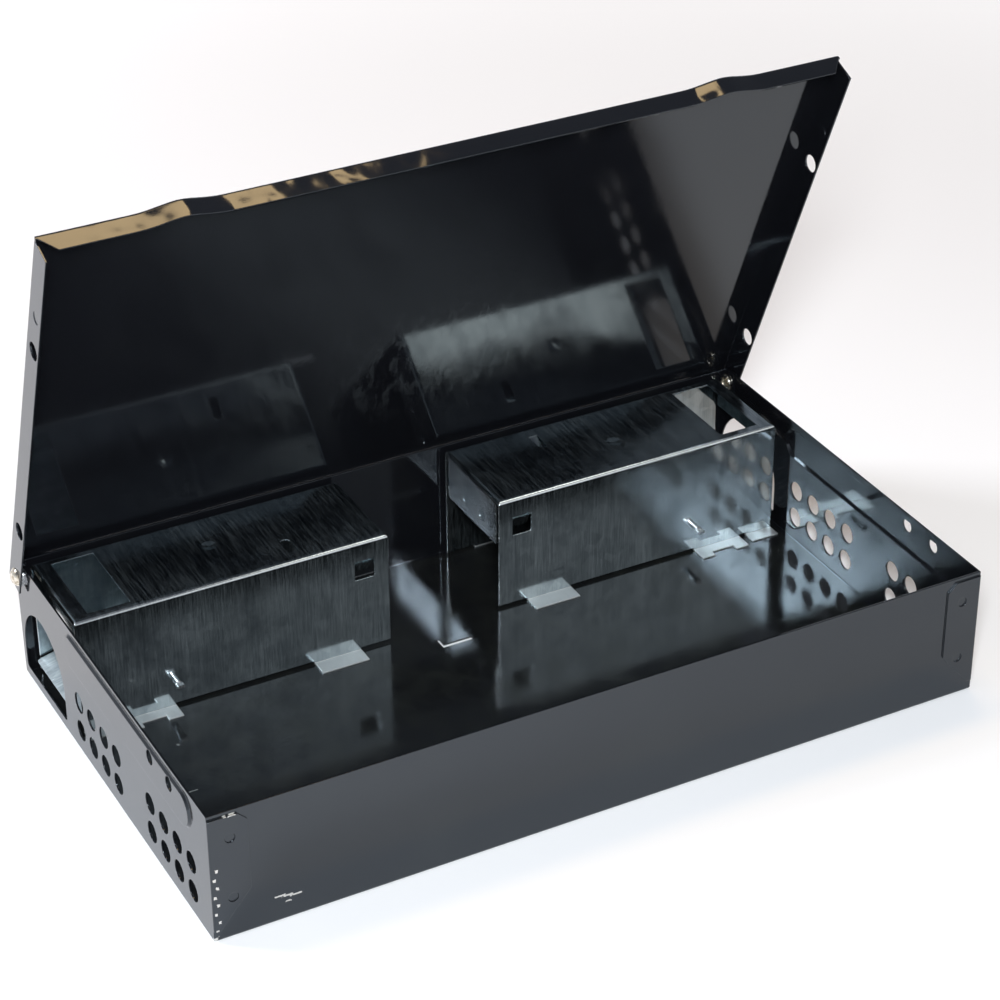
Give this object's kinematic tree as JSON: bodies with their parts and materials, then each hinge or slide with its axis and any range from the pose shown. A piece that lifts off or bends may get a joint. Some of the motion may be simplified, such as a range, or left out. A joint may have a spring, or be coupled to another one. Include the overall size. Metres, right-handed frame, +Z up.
{
  "type": "multiple-catch mouse trap station",
  "caption": "Low sheet-steel pest station with a hinged lid, vented ends, two entry tunnels and tipping treadles.",
  "frame": {"origin": "middle of the tray's underside", "axes": "+X along the length, +Y towards the hinged back, +Z up"},
  "size_m": [0.274, 0.159, 0.1866],
  "materials": {
    "black_enamel": "gloss black stoving enamel",
    "galvanised_steel": "bright galvanised with fine rolling lines",
    "rivet_plating": "plated steel, warm where the plating has dulled",
    "bright_zinc": "bright zinc plating"
  },
  "bodies": {
    "tray_body": {"tray": "black_enamel", "tunnel_left": "galvanised_steel", "tunnel_right": "galvanised_steel", "hinge_rivet_left": "rivet_plating", "hinge_rivet_right": "rivet_plating", "hinge_spacer_left": "bright_zinc", "hinge_spacer_right": "bright_zinc", "pivot_rod_left": "bright_zinc", "pivot_rod_right": "bright_zinc"},
    "lid_body": {"lid": "black_enamel"},
    "treadle_left_body": {"treadle_left": "galvanised_steel"},
    "treadle_right_body": {"treadle_right": "galvanised_steel"}
  },
  "joints": [
    {"name": "lid_hinge", "type": "hinge", "parent": "tray_body", "child": "lid_body", "pos_m": [0, 0.07315, 0.0406], "axis": [-1, 0, 0], "range_deg": [-67.75, 24]},
    {"name": "treadle_left_pivot", "type": "hinge", "parent": "tray_body", "child": "treadle_left_body", "pos_m": [-0.0975, 0.05545, 0.011], "axis": [0, 1, 0], "range_deg": [0, 39]},
    {"name": "treadle_right_pivot", "type": "hinge", "parent": "tray_body", "child": "treadle_right_body", "pos_m": [0.0975, 0.05545, 0.011], "axis": [0, -1, 0], "range_deg": [0, 39]}
  ]
}
